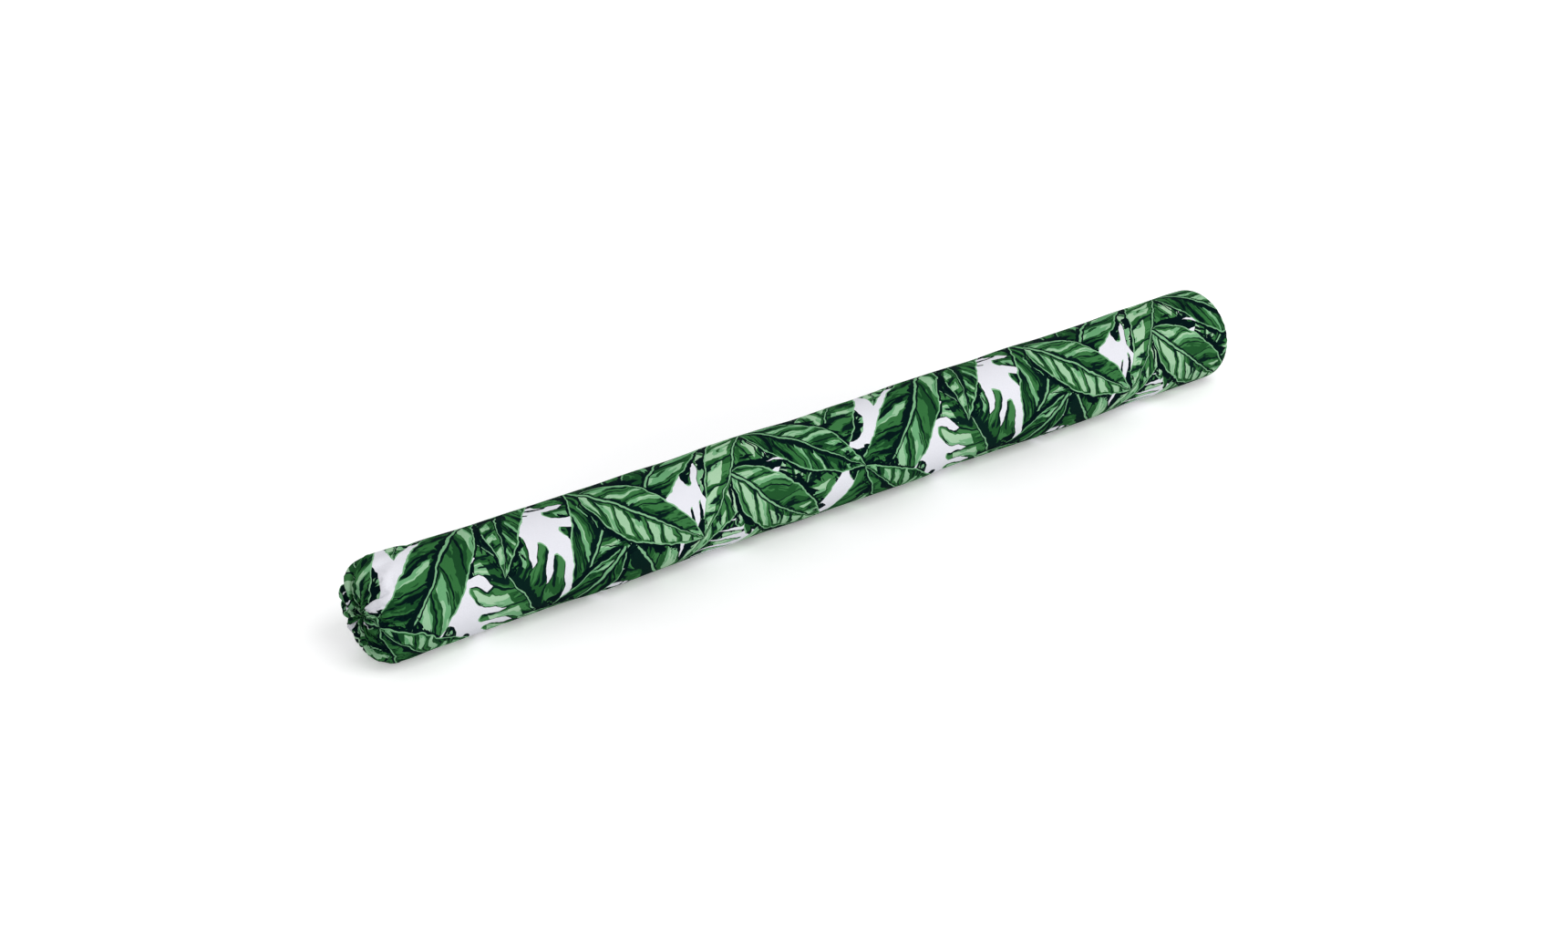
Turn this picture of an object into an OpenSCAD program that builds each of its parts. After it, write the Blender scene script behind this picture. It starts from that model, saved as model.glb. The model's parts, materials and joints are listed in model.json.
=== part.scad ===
// Foam roller: a long soft bolster with a buoyant foam core in a printed cloth cover.
// The roller lies along X. The origin is under its middle, on the surface that it rests on.
// The -X end is drawn shut by elastic in a hem; the +X end is a round panel sewn to the sleeve.

/* [Roller] */
// Length over both ends
roller_length = 1220; // [700:10:1600]
// Width of the flat that the soft body presses into what it rests on
contact_width = 26; // [16:1:29]
// Rounding of the gathered end
near_rounding = 30; // [26:1:34]
// Rounding of the sewn end
far_rounding = 18; // [14:1:24]

/* [Foam insert] */
// Diameter of the foam core
core_diameter = 95; // [80:1:120]
// Diameter of the hole that runs through the foam core
core_bore = 32; // [20:1:40]
// Free space between the foam core and the liner's pocket that reaches into it
core_clearance = 1; // [0.5:0.25:2]
// Thickness of the soft wadding wrapped round the core
wrap_thickness = 6; // [4:0.5:10]
// Gap where the two edges of the wadding sheet meet
wrap_joint = 0.6; // [0.3:0.1:1.5]
// Thickness of the wadding beyond the core at the gathered end
near_pad = 14.5; // [10:0.5:18]
// Thickness of the wadding beyond the core at the sewn end
far_pad = 12; // [8:0.5:16]
// Thickness of the liner cloth
liner = 0.6; // [0.4:0.1:0.8]

/* [Cover] */
// Thickness of the printed cloth
cloth = 0.8; // [0.6:0.1:1]
// Free space between the liner and the thickest seam inside the cover
cover_ease = 0.2; // [0.1:0.1:2]
// Where the end panel's seam lies on the rounding, up from the side
seam_angle = 60; // [45:1:65]
// Width of the turned-in edges at the end panel's seam
end_allowance = 5.5; // [4:0.5:7]
// Width of the turned-in edges at the long seam
long_allowance = 10; // [6:1:14]
// Place of the long seam round the roller, from straight down towards the back
long_seam_angle = 60; // [30:5:150]

/* [Gathered mouth] */
// Radius of the bunched cloth inside the mouth
neck_radius = 13; // [11:0.5:16]
// Radius of the small hole left in the middle of the bunch
neck_hole = 2.5; // [1.5:0.5:3.5]
// Depth of the funnel that the gathers run into
funnel_depth = 9; // [6:0.5:11]
// Width of the hem that holds the elastic
hem_width = 17; // [13:1:18]
// Radius where the hem's printed ply meets the casing tape
hem_split = 7; // [6:0.25:8]
// Thickness of the printed cloth that closes over the casing tape
hem_fold = 2; // [1.5:0.5:3]
// Thickness of the round elastic
elastic_thickness = 3.5; // [2:0.5:4]
// Free space round the elastic in its channel
elastic_clearance = 0.1; // [0.05:0.05:0.3]
// Free space between the bunch and the liner round it
neck_gap = 1; // [0.5:0.25:2]

/* [Stitches] */
// Length of one stitch
stitch_length = 3; // [2:0.25:3.5]
// Distance from one stitch to the next
stitch_pitch = 4; // [3.75:0.25:6]
// Width of the thread
thread_width = 0.5; // [0.4:0.1:0.8]
// Height of the thread above the cloth
thread_height = 0.3; // [0.2:0.05:0.4]
// Distance of the hem's stitches from its edges
hem_stitch_inset = 1.5; // [1:0.25:3]

/* [Hidden] */
$fn = 96;

// Radii of the layers, from the core outwards
core_r = core_diameter / 2;
wrap_r = core_r + wrap_thickness;
liner_r = wrap_r + liner;
seam_thickness = 3 * cloth + thread_height;
cover_r = liner_r + cover_ease + seam_thickness;

// How far each layer's outside lies inside the cover's outside
liner_inset = cover_ease + seam_thickness;
wadding_inset = liner_inset + liner;

// Centres of the two roundings, as [radius, place along the roller]
near_centre = [cover_r - near_rounding, -roller_length / 2 + near_rounding];
far_centre = [cover_r - far_rounding, roller_length / 2 - far_rounding];

// Height of the roller's axis over the surface that it rests on
axis_height = sqrt(pow(cover_r, 2) - pow(contact_width / 2, 2));

// The gathered mouth: the rounding rolls in as far as lip_angle past the end, down to the bunch
lip_angle = asin((near_centre[0] - neck_radius) / near_rounding);
lip_x = near_centre[1] - near_rounding * cos(lip_angle);
hem_x = lip_x + funnel_depth;
neck_end_x = hem_x + hem_width;
elastic_x = hem_x + hem_fold + (hem_width - hem_fold) / 2;

// The liner's pocket round the bunch
pocket_r = neck_radius + neck_gap;
pocket_x = neck_end_x + neck_gap;
liner_rounding = near_rounding - liner_inset;
liner_lip_angle = asin((near_centre[0] - pocket_r) / liner_rounding);

// Ends of the foam core
core_near_x = -roller_length / 2 + wadding_inset + near_pad;
core_far_x = roller_length / 2 - wadding_inset - far_pad;

// Room in the core's end for the liner's pocket, which the core's hole holds where it is wide enough
core_recess_r = pocket_r + liner + core_clearance;
core_recess_x = pocket_x + liner + core_clearance;

// The end panel's seam
return_r = far_rounding - cloth;
skirt_r = return_r - cloth;
allowance_angle = end_allowance / skirt_r * 180 / PI;

// The long seam's two turned-in plies
long_ply_r = cover_r - 3 * cloth;
long_seam_start = near_centre[1] + long_allowance;
long_seam_end = far_centre[1] - end_allowance;

overlap_angle = 6;
reach = roller_length;

// Turns a profile, drawn as radius by place along the roller, about the roller's axis
module turned(from = 0, sweep = 360) {
    translate([0, 0, axis_height])
        rotate([0, 90, 0])
            rotate([0, 0, from])
                rotate_extrude(angle = sweep)
                    children();
}

// Part of the profile plane, from one radius and place to another
module span(r0, r1, x0, x1) {
    translate([r0, x0]) square([r1 - r0, x1 - x0]);
}

// Pie slice used to cut arcs, from one angle to another
module slice(centre, size, from, to) {
    steps = 8;
    translate(centre)
        polygon([[0, 0], for (i = [0:steps]) let (a = from + (to - from) * i / steps)
            size * [cos(a), sin(a)]]);
}

// Arc of cloth in the profile plane, with its outside at the given radius
module cloth_arc(centre, outside, thickness, from, to) {
    intersection() {
        difference() {
            translate(centre) circle(r = outside);
            translate(centre) circle(r = outside - thickness);
        }
        slice(centre, 2 * outside, from, to);
    }
}

// Filled outline of the roller, a set distance inside the cover's outside
module outline(inset) {
    near_r = near_rounding - inset;
    far_r = far_rounding - inset;
    span(0, cover_r - inset, near_centre[1], far_centre[1]);
    intersection() {
        translate(near_centre) circle(r = near_r);
        span(0, reach, near_centre[1] - near_rounding, near_centre[1]);
    }
    span(0, far_centre[0], far_centre[1], far_centre[1] + far_r);
    intersection() {
        translate(far_centre) circle(r = far_r);
        span(far_centre[0], reach, far_centre[1], far_centre[1] + far_rounding);
    }
}

// Everything from a height downwards
module below(height) {
    translate([-reach, -reach, height - reach]) cube([2 * reach, 2 * reach, reach]);
}

// The flat stretch of cloth that lies on the surface
module floor_strip() {
    intersection() {
        turned() outline(0);
        translate([-reach, -reach, 0]) cube([2 * reach, 2 * reach, cloth]);
    }
}

// Bunched cloth from the lip of the funnel to the end of the hem, with the elastic's groove
module neck_profile() {
    drop = neck_radius - neck_hole;
    difference() {
        polygon([
            for (a = [0:15:90]) [neck_radius - drop * sin(a), lip_x + funnel_depth * (1 - cos(a))],
            [neck_hole, hem_x + hem_fold],
            [hem_split, hem_x + hem_fold],
            [hem_split, neck_end_x],
            [neck_radius, neck_end_x]
        ]);
        elastic_channel();
    }
}

module elastic_channel() {
    translate([hem_split, elastic_x])
        circle(d = elastic_thickness + 2 * elastic_clearance);
}

// One stitch that runs along the roller, below its axis, with its outer face at the given radius
module long_stitch(radius) {
    translate([-stitch_length / 2, -thread_width / 2, -radius])
        cube([stitch_length, thread_width, thread_height]);
}

// One stitch that runs round the roller, below its axis, with its outer face at the given radius
module round_stitch(radius) {
    translate([-thread_width / 2, -stitch_length / 2, -radius])
        cube([thread_width, stitch_length, thread_height]);
}

module foam_core() {
    color("white")
        turned()
            difference() {
                span(core_bore / 2, core_r, core_near_x, core_far_x);
                span(0, core_recess_r, core_near_x, core_recess_x);
            }
}

module wadding_wrap() {
    color("whitesmoke")
        difference() {
            turned()
                intersection() {
                    outline(wadding_inset);
                    span(core_r, wrap_r, core_near_x, core_far_x);
                }
            translate([-reach, -wrap_joint / 2, axis_height])
                cube([2 * reach, wrap_joint, reach]);
        }
}

module near_end_wadding() {
    color("whitesmoke")
        turned()
            intersection() {
                outline(wadding_inset);
                span(pocket_r + liner, wrap_r, -reach, core_near_x);
            }
}

module far_end_wadding() {
    color("whitesmoke")
        turned()
            intersection() {
                outline(wadding_inset);
                span(0, wrap_r, core_far_x, reach);
            }
}

module liner_tube() {
    color("ivory")
        turned() span(wrap_r, liner_r, near_centre[1], far_centre[1]);
}

module liner_near_end() {
    color("ivory")
        turned() {
            intersection() {
                cloth_arc(near_centre, liner_rounding, liner, -90 - liner_lip_angle - overlap_angle, 0);
                span(pocket_r, reach, -reach, near_centre[1]);
            }
            pocket_mouth_x = near_centre[1] - liner_rounding * cos(liner_lip_angle) + liner;
            span(pocket_r, pocket_r + liner, pocket_mouth_x, pocket_x + liner);
            span(0, pocket_r + liner, pocket_x, pocket_x + liner);
        }
}

module liner_far_end() {
    liner_end_x = far_centre[1] + far_rounding - liner_inset;
    color("ivory")
        turned() {
            cloth_arc(far_centre, far_rounding - liner_inset, liner, 0, 90);
            span(0, far_centre[0], liner_end_x - liner, liner_end_x);
        }
}

module printed_sleeve() {
    color("seagreen") {
        difference() {
            turned() {
                span(cover_r - cloth, cover_r, near_centre[1], far_centre[1]);
                cloth_arc(near_centre, near_rounding, cloth, -90 - lip_angle - overlap_angle, 0);
                cloth_arc(far_centre, far_rounding, cloth, 0, seam_angle);
                cloth_arc(far_centre, return_r, cloth, seam_angle - allowance_angle, seam_angle);
                neck_profile();
            }
            below(0);
        }
        floor_strip();
        turned(long_seam_angle, long_allowance / cover_r * 180 / PI)
            span(long_ply_r, cover_r - cloth / 2, long_seam_start, long_seam_end);
    }
}

module far_end_panel() {
    web_angle = cloth / far_rounding * 180 / PI;
    color("seagreen")
        difference() {
            turned() {
                span(0, far_centre[0], far_centre[1] + return_r, far_centre[1] + far_rounding);
                cloth_arc(far_centre, far_rounding, cloth, seam_angle, 90);
                cloth_arc(far_centre, far_rounding, 3 * cloth, seam_angle, seam_angle + web_angle);
                cloth_arc(far_centre, skirt_r, cloth, seam_angle - allowance_angle, seam_angle + web_angle);
            }
            below(0);
        }
}

module hem_casing_tape() {
    color("white")
        turned()
            difference() {
                span(neck_hole, hem_split, hem_x + hem_fold, neck_end_x);
                elastic_channel();
            }
}

module gathering_elastic() {
    color("white")
        turned() translate([hem_split, elastic_x]) circle(d = elastic_thickness);
}

module long_seam_thread() {
    first = long_seam_start + stitch_pitch;
    count = floor((long_seam_end - long_seam_start - 2 * stitch_pitch) / stitch_pitch);
    middle = long_seam_angle + long_allowance / cover_r * 90 / PI;
    color("white")
        for (i = [0:count])
            translate([first + i * stitch_pitch, 0, axis_height])
                rotate([middle, 0, 0])
                    long_stitch(long_ply_r);
}

module end_seam_thread() {
    angle = seam_angle - allowance_angle / 2;
    inside = skirt_r - cloth;
    ring_r = far_centre[0] + inside * cos(angle);
    count = floor(2 * PI * ring_r / stitch_pitch);
    color("white")
        for (i = [0:count - 1])
            translate([far_centre[1], 0, axis_height])
                rotate([i * 360 / count, 0, 0])
                    translate([0, 0, -far_centre[0]])
                        rotate([0, -angle, 0])
                            round_stitch(inside);
}

module hem_thread() {
    count = floor(2 * PI * neck_radius / stitch_pitch);
    color("white")
        for (x = [hem_x + hem_fold + hem_stitch_inset, neck_end_x - hem_stitch_inset])
            for (i = [0:count - 1])
                translate([x, 0, axis_height])
                    rotate([i * 360 / count, 0, 0])
                        round_stitch(neck_radius + thread_height);
}

module liner_thread() {
    count = floor(2 * PI * liner_r / stitch_pitch);
    color("white")
        for (x = [near_centre[1], far_centre[1]])
            for (i = [0:count - 1])
                translate([x, 0, axis_height])
                    rotate([i * 360 / count, 0, 0])
                        long_stitch(liner_r + thread_height);
}

foam_core();
wadding_wrap();
near_end_wadding();
far_end_wadding();
liner_tube();
liner_near_end();
liner_far_end();
printed_sleeve();
far_end_panel();
hem_casing_tape();
gathering_elastic();
long_seam_thread();
end_seam_thread();
hem_thread();
liner_thread();
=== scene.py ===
"""Looks of the foam roller: a long soft roller in a leaf-printed cloth cover.

The cover's two cloth pieces are modelled here in the place of their plain CAD solids. Everything inside the
cover keeps its CAD shape and gets a finer material. Lengths are in metres.
"""

import json
import math

import bpy
import numpy as np
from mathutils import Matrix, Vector


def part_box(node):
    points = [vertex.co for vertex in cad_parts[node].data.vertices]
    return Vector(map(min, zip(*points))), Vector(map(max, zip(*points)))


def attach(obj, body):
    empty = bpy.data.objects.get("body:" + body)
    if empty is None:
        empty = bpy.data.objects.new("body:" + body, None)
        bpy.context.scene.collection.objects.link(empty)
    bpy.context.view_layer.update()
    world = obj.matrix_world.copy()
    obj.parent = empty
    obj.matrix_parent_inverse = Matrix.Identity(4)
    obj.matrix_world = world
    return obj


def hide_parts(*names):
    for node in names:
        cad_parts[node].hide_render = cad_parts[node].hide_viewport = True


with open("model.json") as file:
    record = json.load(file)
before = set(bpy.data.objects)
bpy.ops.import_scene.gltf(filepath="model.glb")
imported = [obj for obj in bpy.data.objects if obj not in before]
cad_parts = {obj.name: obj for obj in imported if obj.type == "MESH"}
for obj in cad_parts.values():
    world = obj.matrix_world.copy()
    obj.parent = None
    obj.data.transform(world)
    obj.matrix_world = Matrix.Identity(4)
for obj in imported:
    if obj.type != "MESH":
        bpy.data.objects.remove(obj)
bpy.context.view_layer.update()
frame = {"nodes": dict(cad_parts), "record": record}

# ---------------------------------------------------------------- sizes, from the frame and from part.scad
MM = 0.001
SLEEVE_LOW, SLEEVE_HIGH = (Vector(corner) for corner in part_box("printed_sleeve"))
_, PANEL_HIGH = (Vector(corner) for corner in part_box("far_end_panel"))
RADIUS = SLEEVE_HIGH.y
AXIS_HEIGHT = SLEEVE_HIGH.z - RADIUS
NEAR_TIP, FAR_TIP = SLEEVE_LOW.x, PANEL_HIGH.x

CLOTH = 0.8 * MM
NEAR_ROUNDING = 30 * MM
FAR_ROUNDING = 18 * MM
NECK_RADIUS = 13 * MM
NECK_HOLE = 2.5 * MM
FUNNEL_DEPTH = 9 * MM
HEM_WIDTH = 17 * MM
HEM_FOLD = 2 * MM
HEM_SPLIT = 7 * MM
END_SEAM = math.radians(60)
LONG_SEAM = math.radians(60)

NEAR_SHOULDER = NEAR_TIP + NEAR_ROUNDING
FAR_SHOULDER = FAR_TIP - FAR_ROUNDING
LIP = math.asin((RADIUS - NEAR_ROUNDING - NECK_RADIUS) / NEAR_ROUNDING)
LIP_X = NEAR_SHOULDER - NEAR_ROUNDING * math.cos(LIP)
ROUNDING_ANGLE = math.pi / 2 + LIP
ROUNDING_LENGTH = NEAR_ROUNDING * ROUNDING_ANGLE


# ---------------------------------------------------------------- camera
def make_camera():
    """The photograph's viewpoint: near the gathered end, above the front, looking down on the roller."""
    azimuth, elevation = math.radians(-35.56), math.radians(28.52)
    distance, off_right, off_up = 3.437, -0.0408, -0.0146
    back = Vector((
        math.sin(azimuth) * math.cos(elevation),
        -math.cos(azimuth) * math.cos(elevation),
        math.sin(elevation),
    ))
    right = Vector((math.cos(azimuth), math.sin(azimuth), 0))
    data = bpy.data.cameras.new("camera")
    data.sensor_width = 36
    data.lens = 66.98
    data.clip_start, data.clip_end = 0.05, 60
    camera = bpy.data.objects.new("camera", data)
    camera.location = (
        Vector((0, 0, AXIS_HEIGHT)) + back * distance + right * off_right + back.cross(right) * off_up)
    camera.rotation_mode = "QUATERNION"
    camera.rotation_quaternion = (-back).to_track_quat("-Z", "Y")
    bpy.context.collection.objects.link(camera)
    bpy.context.scene.camera = camera


make_camera()


# ---------------------------------------------------------------- node helpers
def linear(red, green, blue):
    """A colour given as 0-255 display values, as the linear RGBA that nodes take."""
    def one(value):
        value /= 255
        return value / 12.92 if value <= 0.04045 else ((value + 0.055) / 1.055) ** 2.4
    return one(red), one(green), one(blue), 1.0


class Wire:
    """A number that varies over a surface. Arithmetic on it adds Math nodes to its tree."""

    def __init__(self, tree, socket):
        self.tree, self.socket = tree, socket

    def op(self, operation, *others, clamp=False):
        """The result of one Math node whose first input is this wire."""
        node = self.tree.nodes.new("ShaderNodeMath")
        node.operation = operation
        node.use_clamp = clamp
        for inlet, value in zip(node.inputs, (self, *others)):
            feed(self.tree, inlet, value)
        return Wire(self.tree, node.outputs[0])

    def __add__(self, other):
        return self.op("ADD", other)

    def __radd__(self, other):
        return self.op("ADD", other)

    def __sub__(self, other):
        return self.op("SUBTRACT", other)

    def __rsub__(self, other):
        return self.op("MULTIPLY_ADD", -1.0, other)

    def __mul__(self, other):
        return self.op("MULTIPLY", other)

    def __rmul__(self, other):
        return self.op("MULTIPLY", other)

    def __truediv__(self, other):
        return self.op("DIVIDE", other)

    def __pow__(self, other):
        return self.op("POWER", other)

    def __abs__(self):
        return self.op("ABSOLUTE")

    def __lt__(self, other):
        return self.op("LESS_THAN", other)

    def __gt__(self, other):
        return self.op("GREATER_THAN", other)

    def times_plus(self, factor, term):
        """This times the factor, plus the term."""
        return self.op("MULTIPLY_ADD", factor, term)

    def floor(self):
        return self.op("FLOOR")

    def sine(self):
        return self.op("SINE")

    def least(self, other):
        return self.op("MINIMUM", other)

    def most(self, other):
        return self.op("MAXIMUM", other)

    def clamped(self):
        return self.op("ADD", 0.0, clamp=True)

    def towards(self, other, amount):
        """This value where amount is 0, the other where it is 1."""
        gap = other - self if isinstance(other, Wire) else self.op("MULTIPLY_ADD", -1.0, other)
        return amount.times_plus(gap, self)


def feed(tree, inlet, value):
    """Gives an input socket a number or a wire."""
    if isinstance(value, Wire):
        tree.links.new(value.socket, inlet)
    else:
        inlet.default_value = value


def vector(tree, x, y, z=0.0):
    """A socket with three numbers or wires joined to a vector."""
    node = tree.nodes.new("ShaderNodeCombineXYZ")
    for inlet, value in zip(node.inputs, (x, y, z)):
        feed(tree, inlet, value)
    return node.outputs[0]


def parts_of(tree, socket, kind="ShaderNodeSeparateXYZ"):
    """The three parts of a vector or colour, as wires."""
    node = tree.nodes.new(kind)
    tree.links.new(socket, node.inputs[0])
    return [Wire(tree, outlet) for outlet in node.outputs]


def noise(tree, place, scale, detail=2.0, roughness=0.5, colour=False):
    """Perlin noise at a place: a wire round 0.5, or its three colour channels as wires."""
    node = tree.nodes.new("ShaderNodeTexNoise")
    node.inputs["Scale"].default_value = scale
    node.inputs["Detail"].default_value = detail
    node.inputs["Roughness"].default_value = roughness
    tree.links.new(place, node.inputs["Vector"])
    if colour:
        return parts_of(tree, node.outputs["Color"], "ShaderNodeSeparateColor")
    return Wire(tree, node.outputs["Fac"])


def chances(tree, number):
    """Three random numbers from 0 to 1 that depend on one number alone."""
    node = tree.nodes.new("ShaderNodeTexWhiteNoise")
    node.noise_dimensions = "1D"
    feed(tree, node.inputs["W"], number)
    return parts_of(tree, node.outputs["Color"], "ShaderNodeSeparateColor")


def ramp(tree, value, stops, top):
    """Colours looked up by a wire that runs from 0 to top. Stops are (value, colour)."""
    node = tree.nodes.new("ShaderNodeValToRGB")
    band = node.color_ramp
    while len(band.elements) < len(stops):
        band.elements.new(1.0)
    for element, (place, colour) in zip(band.elements, stops):
        element.position = place / top
        element.color = colour
    feed(tree, node.inputs["Fac"], value / top)
    return node.outputs["Color"]


def blend_colours(tree, mode, amount, first, second):
    """Two colours, each an RGBA or a socket, mixed in one of the Mix node's ways."""
    node = tree.nodes.new("ShaderNodeMix")
    node.data_type = "RGBA"
    node.blend_type = mode
    feed(tree, node.inputs["Factor"], amount)
    colour_inlets = [inlet for inlet in node.inputs if inlet.type == "RGBA"]
    for inlet, colour in zip(colour_inlets, (first, second)):
        if isinstance(colour, tuple):
            inlet.default_value = colour
        else:
            tree.links.new(colour, inlet)
    return next(outlet for outlet in node.outputs if outlet.type == "RGBA")


def bump(tree, height, distance):
    """A bump whose height wire counts in units of distance."""
    node = tree.nodes.new("ShaderNodeBump")
    node.inputs["Distance"].default_value = distance
    feed(tree, node.inputs["Height"], height)
    return node.outputs["Normal"]


def new_material(name, roughness, specular=0.25):
    """A material, its node tree and its shader."""
    material = bpy.data.materials.new(name)
    material.use_nodes = True
    shader = material.node_tree.nodes["Principled BSDF"]
    shader.inputs["Roughness"].default_value = roughness
    shader.inputs["Specular IOR Level"].default_value = specular
    return material, material.node_tree, shader


# ---------------------------------------------------------------- the print
PRINT_REPEAT = 640 * MM
CUT_FROM = (0.0, 2.53)  # where on the printed bolt the sleeve is cut, along and across
NAVY, DEEP, MID, SAGE, PALE, GROUND = 0.0, 1.0, 2.0, 3.0, 4.0, 5.0
TONE_STOPS = [
    (NAVY, linear(2, 20, 23)),
    (NAVY + 0.45, linear(10, 38, 32)),
    (DEEP, linear(24, 70, 38)),
    (DEEP + 0.45, linear(42, 98, 50)),
    (MID, linear(52, 112, 60)),
    (MID + 0.45, linear(74, 136, 80)),
    (SAGE, linear(104, 168, 116)),
    (SAGE + 0.45, linear(130, 186, 138)),
    (PALE, linear(150, 198, 156)),
    (PALE + 0.45, linear(178, 214, 178)),
    (GROUND, linear(238, 238, 245)),
]

# Each layer is a slanting lattice of leaves, one to a cell, from the bottom layer to the top one.
# full: the leaf's width in its cell; ends: how blunt base and tip are; veins: side veins on each side;
# sweep: how far a vein runs forward, and arch: how much more towards the edge;
# split: how wide the cuts between the veins get, from where out from the midrib, and how suddenly;
# lobe: how round each band's end is; turn: the leaves' direction, in degrees;
# steps: cells passed in one repeat of the print, along and across the leaf;
# chance: how many cells hold a leaf; light: how much of the leaf is in the light;
# shift: how far the lattice is moved, in cells.
FROND = dict(
    full=1.0, ends=(0.5, 0.6), veins=15, sweep=0.9, arch=3.0, split=(0.44, 0.05, 1.0), lobe=0.0)
LANCE = dict(
    full=0.90, ends=(0.75, 1.0), veins=11, sweep=1.1, arch=4.0, split=(0.0, 0.2, 1.0), lobe=0.05)
SLOTTED = dict(
    full=1.0, ends=(0.42, 0.62), veins=8, sweep=0.75, arch=4.0, split=(0.2, 0.42, 0.16), lobe=0.75)
OVATE = dict(
    full=0.9, ends=(0.55, 0.9), veins=7, sweep=0.9, arch=9.0, split=(0.0, 0.2, 1.0), lobe=0.12)
LAYERS = [
    dict(FROND, turn=-35, steps=(2, 3), chance=0.62, light=0.35, shift=(0.45, 0.2)),
    dict(SLOTTED, turn=62, steps=(1, 4), chance=0.8, light=0.35, shift=(0.1, 0.3)),
    dict(LANCE, turn=118, steps=(1, 5), chance=0.6, light=0.45, shift=(0.2, 0.75)),
    dict(SLOTTED, turn=24, steps=(2, 3), chance=0.5, light=0.75, shift=(0.8, 0.6)),
    dict(LANCE, turn=-48, steps=(1, 5), chance=0.4, light=0.65, shift=(0.3, 0.1)),
    dict(OVATE, turn=40, steps=(3, 5), chance=0.4, light=0.60, shift=(0.35, 0.8)),
]
STEM_WIDTH = 2.0 * MM
RIM_WIDTH = 1.6 * MM


def paint_leaves(tree, p, q, below, layer, seed):
    """Paints one layer of leaves over the tones below and gives the new tones.

    p and q are the place on the flat cloth, along the roller and round it.
    """
    turn = math.radians(layer["turn"])
    steps_along, steps_across = layer["steps"]
    if math.cos(turn) < 0:
        steps_along = -steps_along
    if math.sin(turn) > 0:
        steps_across = -steps_across
    cell_length = PRINT_REPEAT * math.cos(turn) / steps_along
    cell_width = -PRINT_REPEAT * math.sin(turn) / steps_across
    along = (p * math.cos(turn) + q * math.sin(turn)) / cell_length + layer["shift"][0]
    across = (q * math.cos(turn) - p * math.sin(turn)) / cell_width + layer["shift"][1]
    column, row = along.floor(), across.floor()
    cell = column * steps_across - row * steps_along + seed
    flip_chance, mirror_chance, bend_chance = chances(tree, cell)
    there, side_chance, light_chance = chances(tree, cell + 0.37)

    # s runs from 0 at the leaf's base to 1 at its tip; y is the distance from its midrib, in metres
    flip = (flip_chance > 0.5) * 2.0 - 1.0
    mirror = (mirror_chance > 0.5) * 2.0 - 1.0
    from_middle = (along - column - 0.5) * flip
    s = from_middle + 0.5
    bend = (bend_chance - 0.5) * 0.4
    y = ((across - row - 0.5) * mirror + (from_middle * from_middle * 4.0 - 0.5) * bend) * cell_width
    distance = abs(y)
    side = y > 0.0

    base, tip = layer["ends"]
    peak_at = base / (base + tip)
    peak = peak_at ** base * (1 - peak_at) ** tip
    inside = s.most(0.002).least(0.998)
    half = inside ** base * (1.0 - inside) ** tip * (0.46 * layer["full"] * cell_width / peak)
    t = distance / half
    per_metre = half.most(4 * MM) ** -1.0

    # side veins, numbered outwards, with f the place between two of them from -0.5 to 0.5
    swept = distance * (distance * layer["arch"]).times_plus(1.0, layer["sweep"])
    wander = noise(tree, vector(tree, s * 5.0, side * 3.0, cell), 1.0, detail=1.0)
    vein_place = (s - swept / cell_length) * float(layer["veins"]) + wander * 1.5 + side * 0.5
    vein = vein_place.floor()
    f = vein_place - vein - 0.5
    off_middle = abs(f)
    v0, v1, v2 = chances(tree, vein.times_plus(1.31, cell + side * 17.0))
    streak = noise(tree, vector(tree, vein_place * 2.4, t * 1.3, cell), 1.0, detail=2.0, roughness=0.6)

    # outline: each band between two veins ends in a lobe, and may be cut off from the next
    split, split_from, split_rise = layer["split"]
    cut = ((t - split_from) / split_rise).clamped() * split
    edge = 1.0 - off_middle * off_middle * layer["lobe"] - v1 * 0.05
    within = (s > 0.0) * (s < 1.0) * (there < layer["chance"])
    leaf = (t < edge) * (off_middle + cut < 0.5) * within

    # tones: dark leaves with a few strokes in the light, and light ones with dark lines between broad strokes
    lit_side = abs(side - (side_chance > 0.5))
    light = light_chance.times_plus(0.5, layer["light"] - 0.25) + lit_side * 0.34 - 0.17
    tone = (streak > 0.53) * 0.95 + DEEP
    tone = tone.towards(NAVY, (streak < 0.435) * (light < v1 + 0.3))
    room = 0.5 - cut
    stroke_width = (light * 0.34 + v0 * 0.16 + 0.02) * (1.1 - t * 0.5)
    stroke = (abs(f + 0.05) < stroke_width.least(room - 0.07)) * (v0 < light + 0.15)
    stroke = stroke * (t > v1 * 0.30 + 0.06) * (t < v2 * 0.3 + 0.72)
    tone = tone.towards(SAGE, stroke * (streak > 0.36))
    tone = tone.towards(PALE, stroke * (streak + light * 0.16 > 0.60))
    tone = tone.towards(NAVY, (off_middle > room - 0.045) * (t < v2 * 0.2 + 0.78))
    tone = tone.towards(NAVY, t < (0.9 - light) * streak * 1.1 - 0.12)
    tone = tone.towards(SAGE + 0.3, t > edge - per_metre * RIM_WIDTH)
    taper = (1.12 - inside) * STEM_WIDTH
    tone = tone.towards(NAVY, distance < taper * 2.0)
    tone = tone.towards(SAGE + 0.3, distance < taper * 0.75)
    tone = light_chance.times_plus(0.42, tone)

    shade_width = (streak - 0.43).most(0.0).times_plus(60 * MM, 2.6 * MM)
    halo = (t < edge + per_metre * shade_width) * within * (below < GROUND - 0.1)
    shaded = below.towards(NAVY, halo)
    return shaded.towards(tone, leaf)


CLOTH_MAP = "cloth"  # the pieces' map of places on the flat cloth, in metres
THREAD_PITCH = 0.55 * MM
DRAWN_WOBBLE = 16 * MM  # how far the drawn lines stray from smooth curves
WEAVE_RELIEF = 0.12 * MM


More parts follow.
